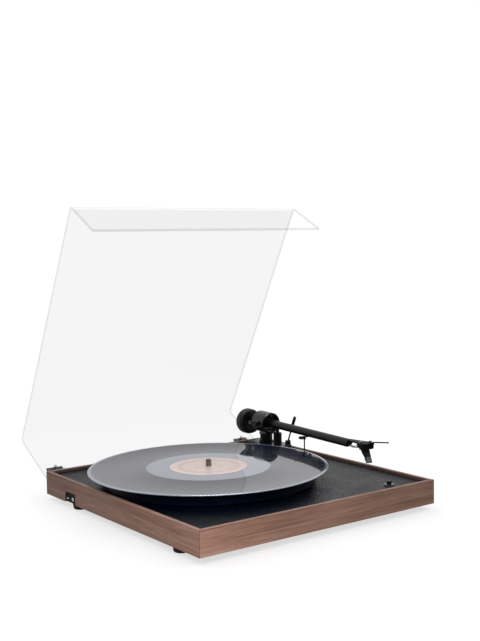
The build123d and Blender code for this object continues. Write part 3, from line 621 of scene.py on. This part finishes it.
# ------------------------------------------------------------------------ stage
def floor():
    bm = bmesh.new()
    bmesh.ops.create_grid(bm, x_segments=8, y_segments=8, size=12.0)
    me = bpy.data.meshes.new("floor")
    bm.to_mesh(me)
    bm.free()
    o = bpy.data.objects.new("floor", me)
    SCN.collection.objects.link(o)
    m = Mat("floor_white")
    n = m.noise(3.0, 2.0)
    m.link(m.mix(m.remap(n, 0.3, 0.7, 0.0, 1.0), (0.50, 0.50, 0.50), (0.52, 0.52, 0.52)), "Base Color")
    m.set(Roughness=0.9, Specular_IOR_Level=0.0, Emission_Color=(1, 1, 1, 1), Emission_Strength=0.655)
    me.materials.append(m.m)
    o.visible_diffuse = False
    o.visible_glossy = False
    return o


# ------------------------------------------------------------------ mitre seams
def mitre_seams():
    """fine dark glue lines where the boards meet, over the rim and down each corner"""
    bm = bmesh.new()
    r, w, d = 0.9, 0.22, 0.03
    path = [(RIM - 0.8, H + d, 0.0)]
    for k in range(7):
        a = math.radians(90.0 * k / 6)
        path.append((r - (r + d) * math.sin(a), H - r + (r + d) * math.cos(a), a))
    path.append((-d, 0.4, 0.0))
    for cx, cy, sx, sy in ((0, 0, 1, 1), (W, 0, -1, 1), (0, D, 1, -1), (W, D, -1, -1)):
        rows = []
        for t, z, a in path:
            row = []
            for q, e in ((-w, 0.0), (w, 0.0), (w, 0.12), (-w, 0.12)):
                o = t + e
                row.append(bm.verts.new(V(cx + sx * (o + q / 2), cy + sy * (o - q / 2), z - (e if t > 0.5 else 0.0))))
            rows.append(row)
        for a, b in zip(rows, rows[1:]):
            for q in range(4):
                bm.faces.new((a[q], b[q], b[(q + 1) % 4], a[(q + 1) % 4]))
        bm.faces.new(rows[0])
        bm.faces.new(rows[-1][::-1])
    return make("mitre_seams", bm, "plinth", ["seam"], 50.0)


mitre_seams()
counterweight()
switch_marks()
ground = floor()

# ----------------------------------------------------------------------- camera
yaw, pitch, roll = 0.657150, 0.0771645, -0.0132206
F_PX, PPX, PPY = 1042.456, 278.625, 318.172
fwd = Vector((math.sin(yaw) * math.cos(pitch), math.cos(yaw) * math.cos(pitch), -math.sin(pitch)))
right = Vector((math.cos(yaw), -math.sin(yaw), 0.0))
up = right.cross(fwd)
r2 = right * math.cos(roll) + up * math.sin(roll)
u2 = -right * math.sin(roll) + up * math.cos(roll)
cam = bpy.data.cameras.new("camera")
cam.sensor_fit = "VERTICAL"
cam.sensor_height = 24.0
cam.lens = F_PX * cam.sensor_height / 641.0
cam.shift_x = (240.0 - PPX) / 641.0
cam.shift_y = (PPY - 320.5) / 641.0
cam.clip_start, cam.clip_end = 0.02, 60.0
co = bpy.data.objects.new("camera", cam)
SCN.collection.objects.link(co)
mw = Matrix((r2, u2, -fwd)).transposed().to_4x4()
mw.translation = V(-577.951, -887.971, 330.132)
co.matrix_world = mw
SCN.camera = co

# ----------------------------------------------------------------------- lights
world = bpy.data.worlds.new("studio")
SCN.world = world
world.use_nodes = True
wt = world.node_tree
bg = wt.nodes["Background"]
bg.inputs["Color"].default_value = (1.0, 1.0, 1.0, 1.0)
wdir = wt.nodes.new("ShaderNodeTexCoord")
wdot = wt.nodes.new("ShaderNodeVectorMath")
wdot.operation = "DOT_PRODUCT"
wdot.inputs[1].default_value = (math.sin(yaw), math.cos(yaw), 0.25)
wmap = wt.nodes.new("ShaderNodeMapRange")
wmap.interpolation_type = "SMOOTHSTEP"
for k, v in (("From Min", -0.75), ("From Max", 0.25), ("To Min", 0.10), ("To Max", 1.0)):
    wmap.inputs[k].default_value = v
wt.links.new(wdir.outputs["Generated"], wdot.inputs[0])
wt.links.new(wdot.outputs["Value"], wmap.inputs["Value"])
wsep = wt.nodes.new("ShaderNodeSeparateXYZ")
wlow = wt.nodes.new("ShaderNodeMapRange")
for k, v in (("From Min", -0.12), ("From Max", -0.04), ("To Min", 0.30), ("To Max", 1.0)):
    wlow.inputs[k].default_value = v
wmul = wt.nodes.new("ShaderNodeMath")
wmul.operation = "MULTIPLY"
wt.links.new(wdir.outputs["Generated"], wsep.inputs[0])
wt.links.new(wsep.outputs[2], wlow.inputs["Value"])
wt.links.new(wmap.outputs[0], wmul.inputs[0])
wt.links.new(wlow.outputs[0], wmul.inputs[1])
# the backdrop itself is seen as plain pale all round
wpath = wt.nodes.new("ShaderNodeLightPath")
wmax = wt.nodes.new("ShaderNodeMath")
wmax.operation = "MAXIMUM"
wt.links.new(wmul.outputs[0], wmax.inputs[0])
wcam = wt.nodes.new("ShaderNodeMath")
wcam.operation = "MULTIPLY"
wcam.inputs[1].default_value = 1.055
wt.links.new(wpath.outputs["Is Camera Ray"], wcam.inputs[0])
wt.links.new(wcam.outputs[0], wmax.inputs[1])
wt.links.new(wmax.outputs[0], bg.inputs["Strength"])


def area(name, loc, aim, size, power, color=(1, 1, 1)):
    l = bpy.data.lights.new(name, "AREA")
    l.shape = "RECTANGLE"
    l.size, l.size_y = size
    l.energy = power
    l.color = color
    o = bpy.data.objects.new(name, l)
    SCN.collection.objects.link(o)
    o.location = Vector(loc)
    d = Vector(aim) - Vector(loc)
    o.rotation_euler = d.to_track_quat("-Z", "Y").to_euler()
    return o


key = area("key_softbox", (-0.46, -0.63, 0.34), (-0.13, -0.18, 0.02), (0.35, 0.35), 9.8)
key.visible_camera = False
key.visible_glossy = False
lit = bpy.data.collections.new("key_receivers")
for o in SCN.objects:
    if o.type == "MESH" and o is not ground and o is not cover:
        lit.objects.link(o)
key.light_linking.receiver_collection = lit
top = area("overhead_softbox", (-0.05, -0.25, 1.15), (-0.02, -0.02, 0.05), (0.7, 0.5), 14.0)
top.visible_camera = False
top.visible_diffuse = False

SCN.view_settings.view_transform = "Standard"
SCN.view_settings.look = "None"
SCN.view_settings.exposure = 0.0
SCN.view_settings.gamma = 1.0
